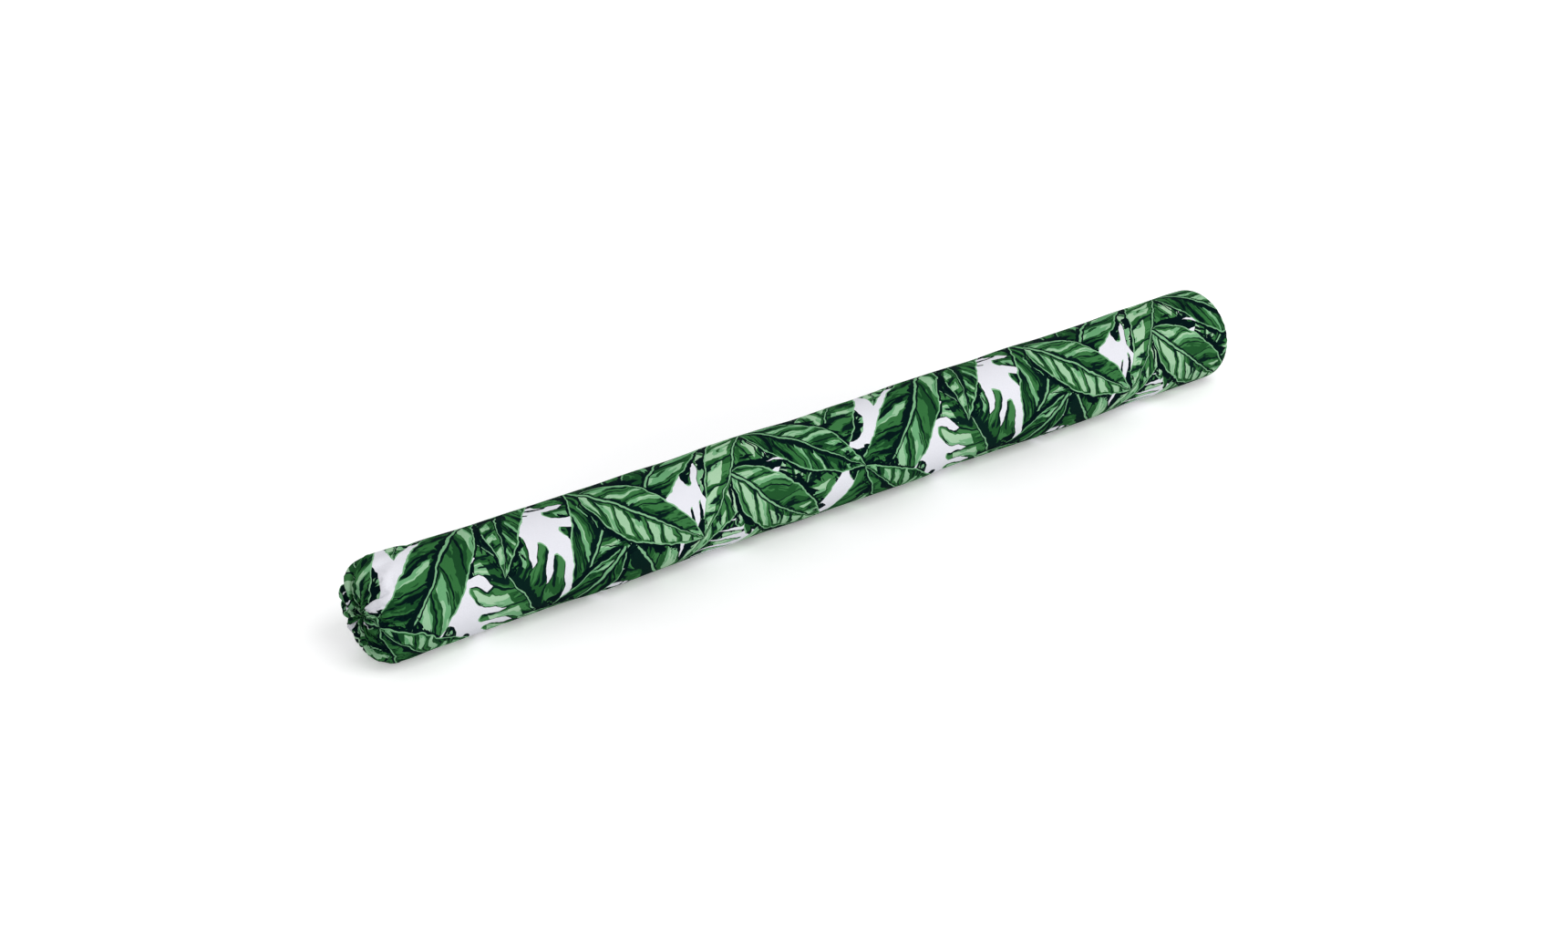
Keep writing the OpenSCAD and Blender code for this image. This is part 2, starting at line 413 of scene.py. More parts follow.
def make_printed_cloth(name):
    """Matt woven cloth with a dense print of leaves in greens and near-black on white."""
    material, tree, shader = new_material(name, roughness=0.92, specular=0.02)
    place = tree.nodes.new("ShaderNodeUVMap")
    place.uv_map = CLOTH_MAP
    flat = place.outputs["UV"]
    p, q, _ = parts_of(tree, flat)
    wob_p, wob_q, _ = noise(tree, flat, 24.0, detail=3.0, roughness=0.6, colour=True)
    p_drawn = wob_p.times_plus(DRAWN_WOBBLE, p + CUT_FROM[0])
    q_drawn = wob_q.times_plus(DRAWN_WOBBLE, q + CUT_FROM[1])
    tone = p.times_plus(0.0, GROUND)
    for number, layer in enumerate(LAYERS):
        tone = paint_leaves(tree, p_drawn, q_drawn, tone, layer, seed=11.7 + 5.3 * number)
    printed = ramp(tree, tone, TONE_STOPS, top=5.0)

    # plain weave: the crossings stand out, painted shade darkens the hollows between them so that the
    # crossings read a little lighter, and the threads vary in thickness
    warp = (p * (2 * math.pi / THREAD_PITCH)).sine()
    weft = (q * (2 * math.pi / THREAD_PITCH)).sine()
    weave = warp * weft
    # painted shade: the weave darkens the colour in the hollows between the raised crossings, and the noise
    # adds a random mottle of the threads
    weave_shade_and_mottle = weave.times_plus(0.22, noise(tree, flat, 900.0, detail=2.0))
    thread_shade_and_mottle = ramp(tree, weave_shade_and_mottle, [(0.25, linear(206, 208, 210)), (0.75, linear(255, 255, 255))], top=1.0)
    printed = blend_colours(tree, "MULTIPLY", 0.4, printed, thread_shade_and_mottle)
    tree.links.new(printed, shader.inputs["Base Color"])
    slub = noise(tree, flat, 420.0, detail=3.0)
    height = weave.times_plus(0.5, slub)
    tree.links.new(bump(tree, height, WEAVE_RELIEF), shader.inputs["Normal"])
    return material


# ---------------------------------------------------------------- mesh helpers
class Mesh:
    """Rings of points joined into one surface, each point with its place on the flat cloth."""

    def __init__(self):
        self.points, self.cloth, self.faces, self.face_cloth = [], [], [], []

    def ring(self, points, cloth):
        """Adds a closed ring. cloth has one more entry than points: the last is the first, one turn on."""
        first = len(self.points)
        self.points.extend(map(tuple, points))
        return first, len(points), cloth

    def join(self, ring_a, ring_b):
        """Joins two rings whose counts are equal or a whole multiple of each other."""
        (first_a, count_a, cloth_a), (first_b, count_b, cloth_b) = ring_a, ring_b
        coarse = min(count_a, count_b)
        step_a, step_b = count_a // coarse, count_b // coarse
        for i in range(coarse):
            face, cloth = [], []
            for k in range(i * step_a, (i + 1) * step_a + 1):
                face.append(first_a + k % count_a)
                cloth.append(cloth_a[k])
            for k in range((i + 1) * step_b, i * step_b - 1, -1):
                face.append(first_b + k % count_b)
                cloth.append(cloth_b[k])
            self.faces.append(face)
            self.face_cloth.extend(cloth)

    def cap(self, ring, backwards=False):
        """Closes a ring with one face."""
        first, count, cloth = ring
        order = list(range(count))
        if backwards:
            order.reverse()
        self.faces.append([first + k for k in order])
        self.face_cloth.extend(cloth[k] for k in order)

    def build(self, name, material):
        """The finished piece, with its cloth map."""
        data = bpy.data.meshes.new(name)
        data.from_pydata(self.points, [], self.faces)
        layer = data.uv_layers.new(name=CLOTH_MAP)
        layer.data.foreach_set("uv", np.array(self.face_cloth, dtype=np.float32).ravel())
        data.materials.append(material)
        data.shade_smooth()
        data.update()
        piece = bpy.data.objects.new(name, data)
        bpy.context.collection.objects.link(piece)
        return piece


def smooth(value, low, high):
    """0 below low, 1 above high, with a soft passage between them."""
    share = np.clip((value - low) / (high - low), 0, 1)
    return share * share * (3 - 2 * share)


def settle(height, softness=0.6 * MM):
    """Keeps a height above the surface that the roller lies on, with a soft bend where it meets it."""
    return (height + np.sqrt(height * height + softness * softness)) / 2


def ripples(angle, fewest, most, seed):
    """A smooth random curve round a circle, made of waves from the fewest to the most per turn."""
    random = np.random.default_rng(seed)
    total = np.zeros_like(angle)
    for waves in range(fewest, most + 1):
        total += random.normal() * np.cos(waves * angle + random.uniform(0, 2 * math.pi))
    return total / math.sqrt(most - fewest + 1)


# ---------------------------------------------------------------- the cover's sleeve
FOLDS = 15
COLUMNS_BODY = 192
COLUMNS_NEAR = 2 * COLUMNS_BODY
COLUMNS_INSIDE = 96
GATHER_REACH = 80 * MM
FUNNEL_STEPS = 8
FUNNEL_LENGTH = 0.92 * (NECK_RADIUS - NECK_HOLE + FUNNEL_DEPTH)
ROUNDING_STEPS = 38
REACH_STEPS = 30
BODY_STEPS = 300
FAR_STEPS = 22
# slow waves of the soft body: length along it, turns round it in that length, height, start
BODY_WAVES = (
    (330 * MM, 1, 0.66 * MM, 0.0),
    (210 * MM, -2, 0.46 * MM, 1.7),
    (140 * MM, 3, 0.34 * MM, 3.4),
    (90 * MM, 2, 0.22 * MM, 5.1),
)
BODY_STANDS_OUT = 0.65 * MM  # so that the waves' hollows stay clear of the insert
# ripples of the long seam: length along it, share, start
SEAM_RIPPLES = ((23 * MM, 0.5, 0.0), (14.5 * MM, 0.35, 1.1), (61 * MM, 0.3, 2.3))
DEEPEST = 2.6 * MM  # how far the cloth may sink below the cover's smooth outline
BACKING_GAP = 3.4 * MM  # from the cover's smooth outline to the inner face of its cloth, clear of the insert
# the cloth simulation of the gathered end
SIM_SCALE = 10
SIM_FRAMES = 30
INSERT_COLUMNS = 96
INSERT_GAP = 2.6 * MM
HELD_BODY = 72 * MM  # held from here on the body, and at the hem
HELD_HEM = 64 * MM
MOST_MOVE = 9 * MM


def turns_round(count):
    """Places round the sleeve from its long seam, closer together near that seam."""
    fine = np.linspace(0, 2 * math.pi, 4001)
    from_seam = np.minimum(fine, 2 * math.pi - fine)
    density = 1 + 4 * np.exp(-(from_seam / 0.07) ** 2)
    passed = np.concatenate([[0], np.cumsum((density[1:] + density[:-1]) / 2)])
    return np.interp(np.arange(count) / count, passed / passed[-1], fine)


def fold_plan():
    """Where each gather starts round the sleeve, and how it stands, leans and runs out."""
    random = np.random.default_rng(7)
    widths = random.uniform(0.55, 1.6, FOLDS)
    edges = np.concatenate([[0], np.cumsum(widths)]) / widths.sum()
    return dict(
        edges=edges * 2 * math.pi,
        height=random.uniform(0.55, 1.15, FOLDS),
        lean=random.uniform(-0.9, 0.9, FOLDS),
        shoulder=random.uniform(0.6, 2.6, FOLDS) * MM,
        reach=random.uniform(10, 42, FOLDS) * MM,
        twin=random.uniform(0, 1, FOLDS),
    )


PLAN = fold_plan()


def gathers(turn, beyond, base_radius):
    """Height of the gathers over the smooth cloth, and how far they lean round the roller.

    turn is the place round the cloth, beyond the distance past the shoulder towards the mouth, which is
    negative on the straight part, and base_radius the smooth cloth's distance from the axis.
    """
    fold = np.clip(np.searchsorted(PLAN["edges"], turn, side="right") - 1, 0, FOLDS - 1)
    start, end = PLAN["edges"][fold], PLAN["edges"][fold + 1]
    v = (turn - start) / (end - start)
    spare = max(RADIUS / base_radius, 1.0)
    width = (end - start) * base_radius
    needed = 0.75 * width * 0.5 * math.sqrt(spare * spare - 1)
    fade = np.exp(-(min(beyond, 0) / PLAN["reach"][fold]) ** 2)
    shoulder = PLAN["shoulder"][fold] * fade * (1 - smooth(beyond, 0, 25 * MM))
    ridge = np.sin(math.pi * v) ** 1.1
    double = 0.28 * PLAN["twin"][fold] * np.sin(3 * math.pi * v) * smooth(beyond, 5 * MM, 35 * MM)
    amount = (needed + shoulder) * PLAN["height"][fold]
    amount = np.minimum(amount, 8.5 * MM)
    height = amount * (ridge + double - 0.27)
    lean = PLAN["lean"][fold] * amount * ridge * 0.6 / max(base_radius, 6 * MM)
    return height, lean


def long_seam_relief(x, turn):
    """The long seam: a thin valley between two low rolls that pucker along the stitches."""
    from_seam = RADIUS * np.minimum(turn, 2 * math.pi - turn)
    pucker = sum(size * math.sin(2 * math.pi * x / length + start) for length, size, start in SEAM_RIPPLES)
    valley = -0.9 * MM * np.exp(-(from_seam / (0.9 * MM)) ** 2)
    rolls = 0.35 * MM * np.exp(-((from_seam - 3.2 * MM) / (2 * MM)) ** 2)
    ripple = 0.65 * MM * pucker * np.exp(-from_seam / (7 * MM)) * smooth(from_seam, 0, 2 * MM)
    return valley + rolls + ripple


def body_relief(x, around):
    """How far the soft body stands out from a true cylinder, at one place along and all places round it."""
    from_tip = x - NEAR_TIP
    upper_back = np.exp(-((around % (2 * math.pi) - math.radians(150)) / math.radians(60)) ** 2)
    swell = 3.8 * MM * (1 - smooth(from_tip, 54 * MM, 92 * MM))
    across_tuck = from_tip - 82 * MM + 4 * MM * np.sin(3 * around)
    tuck = 1.4 * MM * np.exp(-(across_tuck / (7 * MM)) ** 2)
    waves = sum(
        size * np.cos(2 * math.pi * x / length + twist * around + start)
        for length, twist, size, start in BODY_WAVES)
    return (swell - tuck) * upper_back + waves + BODY_STANDS_OUT


def sleeve_points(x, radius, around):
    """Points round the roller's axis, kept above the surface that it lies on."""
    y = radius * np.sin(around)
    z = AXIS_HEIGHT - radius * np.cos(around)
    return np.stack([np.broadcast_to(x, y.shape), y, settle(z)], axis=-1)


def near_outline():
    """Stations along the gathered end's smooth outline, from the hem out to the straight body.

    Each is (x, radius, outward x, outward radius, cloth length past the shoulder).
    """
    drop = NECK_RADIUS - NECK_HOLE
    stations = []
    for i in range(FUNNEL_STEPS, 0, -1):
        a = math.pi / 2 * i / FUNNEL_STEPS
        inward, along = Vector((math.sin(a) * drop, math.cos(a) * FUNNEL_DEPTH)).normalized()
        stations.append((
            LIP_X + FUNNEL_DEPTH * (1 - math.cos(a)), NECK_RADIUS - drop * math.sin(a),
            -along * 0.7, -inward * 0.3,
            ROUNDING_LENGTH + FUNNEL_LENGTH * i / FUNNEL_STEPS))
    for i in range(ROUNDING_STEPS + 1):
        a = ROUNDING_ANGLE * (1 - i / ROUNDING_STEPS)
        stations.append((
            NEAR_SHOULDER - NEAR_ROUNDING * math.sin(a), RADIUS - NEAR_ROUNDING + NEAR_ROUNDING * math.cos(a),
            -math.sin(a), math.cos(a), NEAR_ROUNDING * a))
    for i in range(1, REACH_STEPS + 1):
        past = GATHER_REACH * i / REACH_STEPS
        stations.append((NEAR_SHOULDER + past, RADIUS, 0, 1, -past))
    return stations


def gathered_points(station, turn):
    """The cloth's points all round at one station, folded as it was sewn."""
    x, radius, out_x, out_r, beyond = station
    height, lean = gathers(turn, beyond, max(radius, NECK_HOLE))
    total = height + body_relief(x, turn + LONG_SEAM) * smooth(radius, 20 * MM, 50 * MM)
    total = settle(total + DEEPEST) - DEEPEST
    r = np.maximum(radius + out_r * total, 0.8 * MM)
    return sleeve_points(x + out_x * total, r, turn + LONG_SEAM + lean)


def grid_object(name, points):
    """A scratch object from rows of points, each row closed round."""
    rows, columns = points.shape[:2]
    faces = []
    for row in range(rows - 1):
        for k in range(columns):
            after = (k + 1) % columns
            low, high = row * columns, (row + 1) * columns
            faces.append((low + k, low + after, high + after, high + k))
    data = bpy.data.meshes.new(name)
    data.from_pydata(points.reshape(-1, 3).tolist(), [], faces)
    piece = bpy.data.objects.new(name, data)
    bpy.context.collection.objects.link(piece)
    return piece


def insert_rings(stations):
    """The stuffed insert under the gathers, as rings a little inside the cover's smooth outline."""
    turn = np.arange(INSERT_COLUMNS) * 2 * math.pi / INSERT_COLUMNS
    rings = []
    for x, radius, out_x, out_r, _ in (*stations[::3], stations[-1]):
        r = max(radius - out_r * INSERT_GAP, 0.5 * MM)
        across, down = r * np.sin(turn), r * np.cos(turn)
        along = np.full(turn.shape, x - out_x * INSERT_GAP)
        rings.append(np.stack([along, across, AXIS_HEIGHT - down], axis=-1))
    return np.array(rings)


def relaxed_gathers(stations):
    """The gathered end after a cloth simulation, as rows of points evenly spaced round it.

    The cloth has the lengths of the flat tube, is held at the hem and on the body, and lies on the insert.
    """
    turn = np.arange(COLUMNS_BODY) * 2 * math.pi / COLUMNS_BODY
    start = np.array([gathered_points(station, turn) for station in stations])
    around = turn + LONG_SEAM
    flat = np.array([np.stack([
        np.full(turn.shape, NEAR_SHOULDER - beyond),
        RADIUS * np.sin(around),
        AXIS_HEIGHT - RADIUS * np.cos(around)], axis=-1) for *_, beyond in stations])

    cloth = grid_object("cloth_at_work", start * SIM_SCALE)
    cloth.shape_key_add(name="gathered")
    rest = cloth.shape_key_add(name="flat")
    rest.data.foreach_set("co", (flat * SIM_SCALE).ravel())
    held = cloth.vertex_groups.new(name="held")
    for number, (*_, beyond) in enumerate(stations):
        if beyond < -HELD_BODY or beyond > HELD_HEM:
            held.add(range(number * COLUMNS_BODY, (number + 1) * COLUMNS_BODY), 1.0, "REPLACE")
    insert = grid_object("insert_at_work", insert_rings(stations) * SIM_SCALE)
    insert.modifiers.new("collision", "COLLISION")
    insert.collision.thickness_outer = 0.5 * MM * SIM_SCALE
    insert.collision.cloth_friction = 8

    work = cloth.modifiers.new("cloth", "CLOTH")
    settings = work.settings
    settings.quality = 6
    settings.mass = 0.3
    settings.tension_stiffness = 25
    settings.compression_stiffness = 25
    settings.shear_stiffness = 8
    settings.bending_stiffness = 24
    settings.air_damping = 4
    settings.use_pressure = True
    settings.uniform_pressure_force = 1.5
    settings.effector_weights.gravity = 0
    settings.vertex_group_mass = "held"
    settings.rest_shape_key = rest
    touching = work.collision_settings
    touching.distance_min = 0.6 * MM * SIM_SCALE
    touching.use_self_collision = True
    touching.self_distance_min = 0.9 * MM * SIM_SCALE
    work.point_cache.frame_start = 1
    work.point_cache.frame_end = SIM_FRAMES
    for number in range(1, SIM_FRAMES + 1):
        bpy.context.scene.frame_set(number)
    worked = cloth.evaluated_get(bpy.context.evaluated_depsgraph_get()).data
    settled = np.empty(start.size, dtype=np.float32)
    worked.vertices.foreach_get("co", settled)
    moved = settled.reshape(start.shape) / SIM_SCALE - start
    bpy.context.scene.frame_set(1)
    for piece in (cloth, insert):
        data = piece.data
        bpy.data.objects.remove(piece, do_unlink=True)
        bpy.data.meshes.remove(data)

    far = np.linalg.norm(moved, axis=-1, keepdims=True)
    return start + moved * np.minimum(1, MOST_MOVE / np.maximum(far, 1e-9))


def kept_out(points):
    """Points on the straight or rounded part, moved out where they sank too deep below the smooth outline."""
    x, y, z = points[:, 0], points[:, 1], points[:, 2] - AXIS_HEIGHT
    radius = np.hypot(y, z)
    past = np.minimum(x - NEAR_SHOULDER, 0)
    out = radius - (RADIUS - NEAR_ROUNDING)
    distance = np.hypot(past, out)
    depth = distance - NEAR_ROUNDING
    lift = (settle(depth + DEEPEST) - DEEPEST - depth) / distance
    share = 1 + out * lift / radius
    return np.stack([x + past * lift, y * share, z * share + AXIS_HEIGHT], axis=-1)


def spaced(row, turn):
    """Points of an evenly spaced closed row, read off at other places round it along a smooth curve."""
    place = turn / (2 * math.pi) * len(row)
    k = np.floor(place).astype(int)
    t = (place - k)[:, None]
    p0, p1, p2, p3 = (row[(k + step) % len(row)] for step in (-1, 0, 1, 2))
    return p1 + t / 2 * (p2 - p0 + t * (2 * p0 - 5 * p1 + 4 * p2 - p3 + t * (3 * p1 - p0 - 3 * p2 + p3)))


def near_rows(stations, turn):
    """The gathered end's rows of points, with the long seam, from the hem to the straight body."""
    rows = [spaced(row, turn) for row in relaxed_gathers(stations)]
    finished = []
    for (x, radius, out_x, out_r, beyond), row in zip(stations, rows):
        if beyond < NEAR_ROUNDING * math.pi / 2:
            row = kept_out(row)
        relief = long_seam_relief(x, turn) * smooth(radius, 20 * MM, 50 * MM)
        share = 1 + out_r * relief / np.hypot(row[:, 1], row[:, 2] - AXIS_HEIGHT)
        height = (row[:, 2] - AXIS_HEIGHT) * share + AXIS_HEIGHT
        finished.append(np.stack([row[:, 0] + out_x * relief, row[:, 1] * share, settle(height)], axis=-1))
    return finished


def end_seam_relief(from_seam, turn):
    """The far end's seam: a thin valley, and puckers that run out on both sides of it."""
    pucker = ripples(turn, 30, 46, seed=3)
    valley = -1.1 * MM * math.exp(-((from_seam / (1.5 * MM)) ** 2))
    puckered = 0.5 * MM * math.exp(-from_seam / (6 * MM)) * (1 - math.exp(-((from_seam / MM) ** 2)))
    return valley + puckered * pucker


def outer_rows(turns):
    """The sleeve's outer face from the hem to the far seam.

    Gives rows of points, with how many there are and how far along the cloth they lie.
    """
    stations = near_outline()
    for (*_, beyond), points in zip(stations, near_rows(stations, turns[COLUMNS_NEAR])):
        yield points, COLUMNS_NEAR, -beyond
    turn = turns[COLUMNS_BODY]
    around = turn + LONG_SEAM
    body_start = NEAR_SHOULDER + GATHER_REACH
    for i in range(1, BODY_STEPS + 1):
        x = body_start + (FAR_SHOULDER - body_start) * i / BODY_STEPS
        relief = body_relief(x, around) + long_seam_relief(x, turn)
        yield sleeve_points(x, RADIUS + relief, around), COLUMNS_BODY, x - NEAR_SHOULDER
    for i in range(1, FAR_STEPS + 1):
        a = END_SEAM * i / FAR_STEPS
        x = FAR_SHOULDER + FAR_ROUNDING * math.sin(a)
        relief = body_relief(x, around) * math.cos(a) + long_seam_relief(x, turn) * (1 - 0.7 * i / FAR_STEPS)
        relief = relief + end_seam_relief(FAR_ROUNDING * (END_SEAM - a), turn)
        radius = RADIUS - FAR_ROUNDING + (FAR_ROUNDING + relief) * math.cos(a)
        points = sleeve_points(x + relief * math.sin(a), radius, around)
        yield points, COLUMNS_BODY, FAR_SHOULDER - NEAR_SHOULDER + FAR_ROUNDING * a


def inner_outline():
    """The sleeve's inner face from the far seam back to the hem, as (x, radius, place along the cloth)."""
    under = FAR_ROUNDING - BACKING_GAP
    far_steps, body_steps, near_steps = 4, 30, 12
    for i in range(far_steps, 0, -1):
        a = END_SEAM * i / far_steps
        x = FAR_SHOULDER + under * math.sin(a)
        yield x, RADIUS - FAR_ROUNDING + under * math.cos(a), x - NEAR_SHOULDER
    for i in range(body_steps):
        x = FAR_SHOULDER + (NEAR_SHOULDER - FAR_SHOULDER) * i / body_steps
        yield x, RADIUS - BACKING_GAP, x - NEAR_SHOULDER
    under = NEAR_ROUNDING - BACKING_GAP
    for i in range(near_steps + 1):
        a = ROUNDING_ANGLE * i / near_steps
        radius = RADIUS - NEAR_ROUNDING + under * math.cos(a)
        yield NEAR_SHOULDER - under * math.sin(a), radius, -NEAR_ROUNDING * a
    hem_x = LIP_X + FUNNEL_DEPTH
    casing_x = hem_x + HEM_FOLD
    end_x = hem_x + HEM_WIDTH
    hem = -ROUNDING_LENGTH - FUNNEL_LENGTH
    yield end_x, NECK_RADIUS, hem
    yield end_x, HEM_SPLIT, hem
    yield casing_x, HEM_SPLIT, hem
    yield casing_x, NECK_HOLE, hem


def make_sleeve(material):
    """The long tube of printed cloth, gathered shut at the near end, as one closed shell."""
    mesh = Mesh()
    turns = {count: turns_round(count) for count in (COLUMNS_NEAR, COLUMNS_BODY, COLUMNS_INSIDE)}

    def cloth_of(count, along):
        return [(along, RADIUS * turn) for turn in (*turns[count], 2 * math.pi)]

    rings = [mesh.ring(points, cloth_of(count, along)) for points, count, along in outer_rows(turns)]
    for x, radius, along in inner_outline():
        points = sleeve_points(x, radius, turns[COLUMNS_INSIDE] + LONG_SEAM)
        points[:, 2] = np.maximum(points[:, 2], CLOTH)
        rings.append(mesh.ring(points, cloth_of(COLUMNS_INSIDE, along)))
    for ring_a, ring_b in zip(rings, (*rings[1:], rings[0])):
        mesh.join(ring_a, ring_b)
    return mesh.build("printed_cover", material)


# ---------------------------------------------------------------- the cover's end panel
PANEL_RIM_STEPS = 12
PANEL_PUFF = 3 * MM
# unevenness of the puffed face: waves round it, height, start
PANEL_SAGS = ((2, 1.5 * MM, 0.6), (3, 1.05 * MM, 2.0))
# rings of the panel's face and of its inner side: share of the flat face's radius, and how many points
FACE_RINGS = (
    (0.93, 192), (0.86, 192), (0.79, 192), (0.7, 96), (0.6, 96), (0.5, 96),
    (0.4, 48), (0.3, 48), (0.2, 24), (0.1, 12))
BACK_RINGS = ((0.1, 12), (0.5, 24), (1.0, 48))
PANEL_CUT_FROM = (2.13, 0.41)  # where on the printed bolt the panel's middle is cut


def make_end_panel(material):
    """The round panel of printed cloth that closes the far end, a little puffed out."""
    mesh = Mesh()
    rings = []

    def panel_ring(x, radius, count):
        around = turns_round(count) + LONG_SEAM
        y = radius * np.sin(around)
        up = -radius * np.cos(around)
        points = np.stack([np.broadcast_to(x, y.shape), y, AXIS_HEIGHT + up], axis=-1)
        across, along = PANEL_CUT_FROM
        cloth = [(across + y[k % count], along + up[k % count]) for k in range(count + 1)]
        rings.append(mesh.ring(points, cloth))

    turn = turns_round(COLUMNS_BODY)
    for i in range(PANEL_RIM_STEPS + 1):
        a = END_SEAM + (math.pi / 2 - END_SEAM) * i / PANEL_RIM_STEPS
        relief = end_seam_relief(FAR_ROUNDING * (a - END_SEAM), turn)
        reach = FAR_ROUNDING + relief
        radius = RADIUS - FAR_ROUNDING + reach * math.cos(a)
        panel_ring(FAR_SHOULDER + reach * math.sin(a), radius, COLUMNS_BODY)
    flat = RADIUS - FAR_ROUNDING
    for share, count in FACE_RINGS:
        turn = turns_round(count)
        sag = sum(
            size * np.cos(waves * turn + start) * share ** (waves - 1)
            for waves, size, start in PANEL_SAGS)
        puff = PANEL_PUFF * (1 - share * share)
        panel_ring(FAR_TIP + puff + sag * (1 - share), flat * share, count)
    face_count = len(rings)
    for share, count in BACK_RINGS:
        panel_ring(FAR_TIP - BACKING_GAP, flat * share, count)
    under = FAR_ROUNDING - BACKING_GAP
    radius = RADIUS - FAR_ROUNDING + under * math.cos(END_SEAM)
    panel_ring(FAR_SHOULDER + under * math.sin(END_SEAM), radius, COLUMNS_INSIDE)
    for number in range(len(rings) - 1):
        if number != face_count - 1:
            mesh.join(rings[number], rings[number + 1])
    mesh.join(rings[-1], rings[0])
    mesh.cap(rings[face_count - 1])
    mesh.cap(rings[face_count], backwards=True)
    return mesh.build("cover_end_panel", material)


# ---------------------------------------------------------------- materials of the inner pieces
def make_inner(name, light, dark, roughness, scale, relief, stretch=(1, 1, 1)):
    """A pale material with a real-scale grain: knit, fibre, foam cells, tape or braid, with painted shade in
    the grain's hollows.
    """
    material, tree, shader = new_material(name, roughness=roughness)
    place = tree.nodes.new("ShaderNodeTexCoord")
    mapping = tree.nodes.new("ShaderNodeMapping")
    mapping.inputs["Scale"].default_value = stretch
    tree.links.new(place.outputs["Object"], mapping.inputs["Vector"])
    cells = tree.nodes.new("ShaderNodeTexVoronoi")
    cells.inputs["Scale"].default_value = scale
    tree.links.new(mapping.outputs["Vector"], cells.inputs["Vector"])
    grain = Wire(tree, cells.outputs["Distance"])
    cloud = noise(tree, mapping.outputs["Vector"], scale * 0.2, detail=4.0)
    # painted shade: the grain darkens each cell where its bump is lowest, over a random cloud of tone
    tone = grain.times_plus(0.5, cloud * 0.6)
    colour = ramp(tree, tone, [(0.2, linear(*dark)), (0.75, linear(*light))], top=1.0)
    tree.links.new(colour, shader.inputs["Base Color"])
    tree.links.new(bump(tree, grain, relief), shader.inputs["Normal"])
    return material


# scale is in cells per metre, and stretch draws the cells out along the axes where it is under 1
INNER_LOOKS = {
    "foam": dict(
        light=(238, 240, 242), dark=(214, 218, 222), roughness=0.7, scale=700, relief=0.3 * MM),
    "wadding": dict(
        light=(244, 244, 242), dark=(222, 222, 220), roughness=0.95, scale=260, relief=0.8 * MM,
        stretch=(0.3, 1, 1)),
    "liner_cloth": dict(
        light=(228, 225, 212), dark=(202, 198, 184), roughness=0.9, scale=1400, relief=0.15 * MM,
        stretch=(0.5, 1, 1)),
    "tape": dict(
        light=(236, 236, 230), dark=(206, 206, 198), roughness=0.85, scale=1300, relief=0.15 * MM,
        stretch=(1, 0.4, 0.4)),
    "elastic": dict(
        light=(230, 230, 224), dark=(192, 192, 186), roughness=0.75, scale=1100, relief=0.2 * MM),
    "thread": dict(
        light=(240, 240, 240), dark=(206, 208, 210), roughness=0.8, scale=3000, relief=0.05 * MM,
        stretch=(0.4, 1, 1)),
}


def finish_inner_nodes():
    """Gives every CAD node that shows its own shape the detailed material of its slot."""
    looks = {slot: make_inner(slot + "_detail", **look) for slot, look in INNER_LOOKS.items()}
    slots = {part["node"]: part["material_slot"] for part in frame["record"]["subparts"]}
    for name, node in frame["nodes"].items():
        if slots[name] in looks:
            for place in node.material_slots:
                place.material = looks[slots[name]]


# ---------------------------------------------------------------- floor, light and backdrop
def seen_rays(tree):
    """1 on rays that come from the camera, straight or by way of metal or glass, and 0 on others."""
    rays = tree.nodes.new("ShaderNodeLightPath")
    camera, glossy, through = (
        Wire(tree, rays.outputs[name]) for name in ("Is Camera Ray", "Is Glossy Ray", "Is Transmission Ray"))
    return camera.most(glossy).most(through)


FLOOR_REACH = 14.0
# the floor's own glow for the camera, near the roller and far from it, and where it grows
NEAR_GLOW, FAR_GLOW = 0.22, 0.77
GLOW_GROWS_FROM, GLOW_GROWS_FOR = 0.25, 0.9
AMBIENT = 0.64


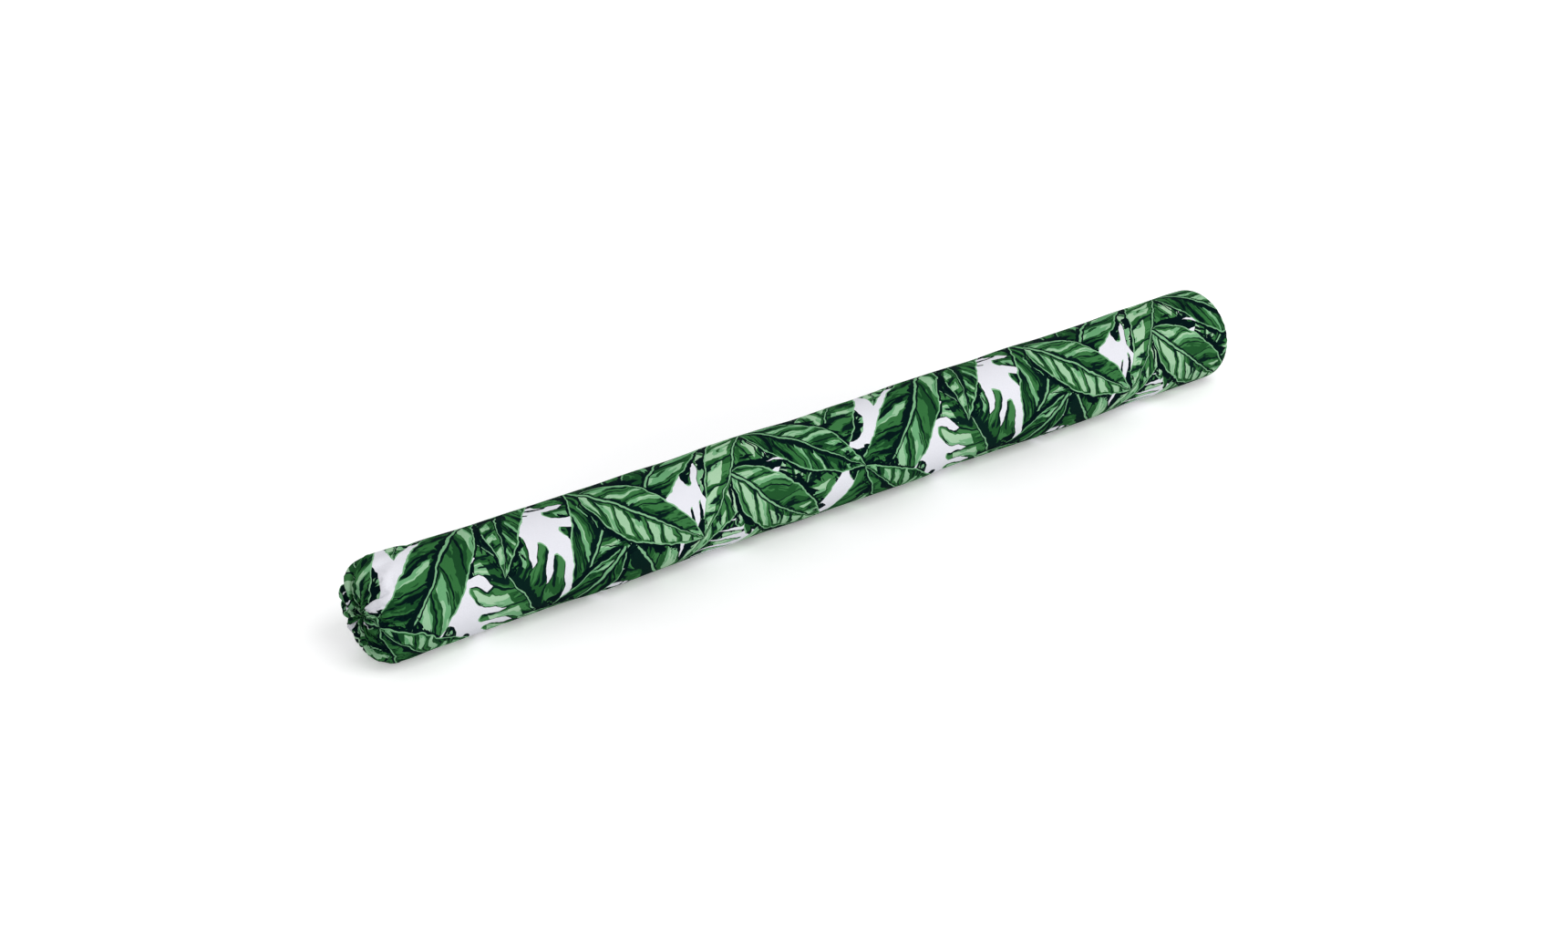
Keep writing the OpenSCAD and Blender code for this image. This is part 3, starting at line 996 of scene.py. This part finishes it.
def make_stage():
    """The pale floor, which turns into the white background further from the roller and keeps its shadow."""
    data = bpy.data.meshes.new("floor")
    corners = [(x * FLOOR_REACH, y * FLOOR_REACH, 0) for x, y in ((-1, -1), (1, -1), (1, 1), (-1, 1))]
    data.from_pydata(corners, [], [(0, 1, 2, 3)])
    floor = bpy.data.objects.new("floor", data)
    bpy.context.collection.objects.link(floor)
    material = bpy.data.materials.new("pale_floor")
    material.use_nodes = True
    tree = material.node_tree
    shader = tree.nodes["Principled BSDF"]
    shader.inputs["Base Color"].default_value = (0.86, 0.86, 0.87, 1)
    shader.inputs["Roughness"].default_value = 0.9
    shader.inputs["Specular IOR Level"].default_value = 0.1
    place = tree.nodes.new("ShaderNodeNewGeometry")
    x, y, _ = parts_of(tree, place.outputs["Position"])
    away = ((x * x) * 0.55 + y * y).op("SQRT")
    fade = ((away - GLOW_GROWS_FROM) / GLOW_GROWS_FOR).clamped()
    glow = seen_rays(tree) * (fade * (FAR_GLOW - NEAR_GLOW) + NEAR_GLOW)
    shader.inputs["Emission Color"].default_value = (1, 1, 1, 1)
    tree.links.new(glow.socket, shader.inputs["Emission Strength"])
    data.materials.append(material)


def make_light(name, place, size, energy):
    """A soft square lamp that points at the roller."""
    data = bpy.data.lights.new(name, "AREA")
    data.shape = "SQUARE"
    data.size = size
    data.energy = energy
    light = bpy.data.objects.new(name, data)
    light.location = place
    light.rotation_mode = "QUATERNION"
    light.rotation_quaternion = (-Vector(place)).to_track_quat("-Z", "Y")
    bpy.context.collection.objects.link(light)


def make_world():
    """Even light from all round, seen by the camera as a white background."""
    world = bpy.data.worlds.new("studio")
    bpy.context.scene.world = world
    world.use_nodes = True
    tree = world.node_tree
    background = tree.nodes["Background"]
    background.inputs["Color"].default_value = (1, 1, 1, 1)
    strength = seen_rays(tree).times_plus(1.0 - AMBIENT, AMBIENT)
    tree.links.new(strength.socket, background.inputs["Strength"])


make_stage()
make_world()
make_light("key", (0.5, -2.3, 3.4), size=2.2, energy=60)
make_light("fill", (2.6, -2.0, 2.2), size=2.4, energy=12)
make_light("low_fill", (-0.6, -3.2, 0.55), size=1.6, energy=17)

printed_cloth = make_printed_cloth("printed_cloth_detail")
cover = make_sleeve(printed_cloth)
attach(cover, "root")
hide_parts("printed_sleeve")

end_panel = make_end_panel(printed_cloth)
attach(end_panel, "root")
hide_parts("far_end_panel")

finish_inner_nodes()

bpy.context.scene.view_settings.view_transform = "Standard"

bpy.context.view_layer.update()
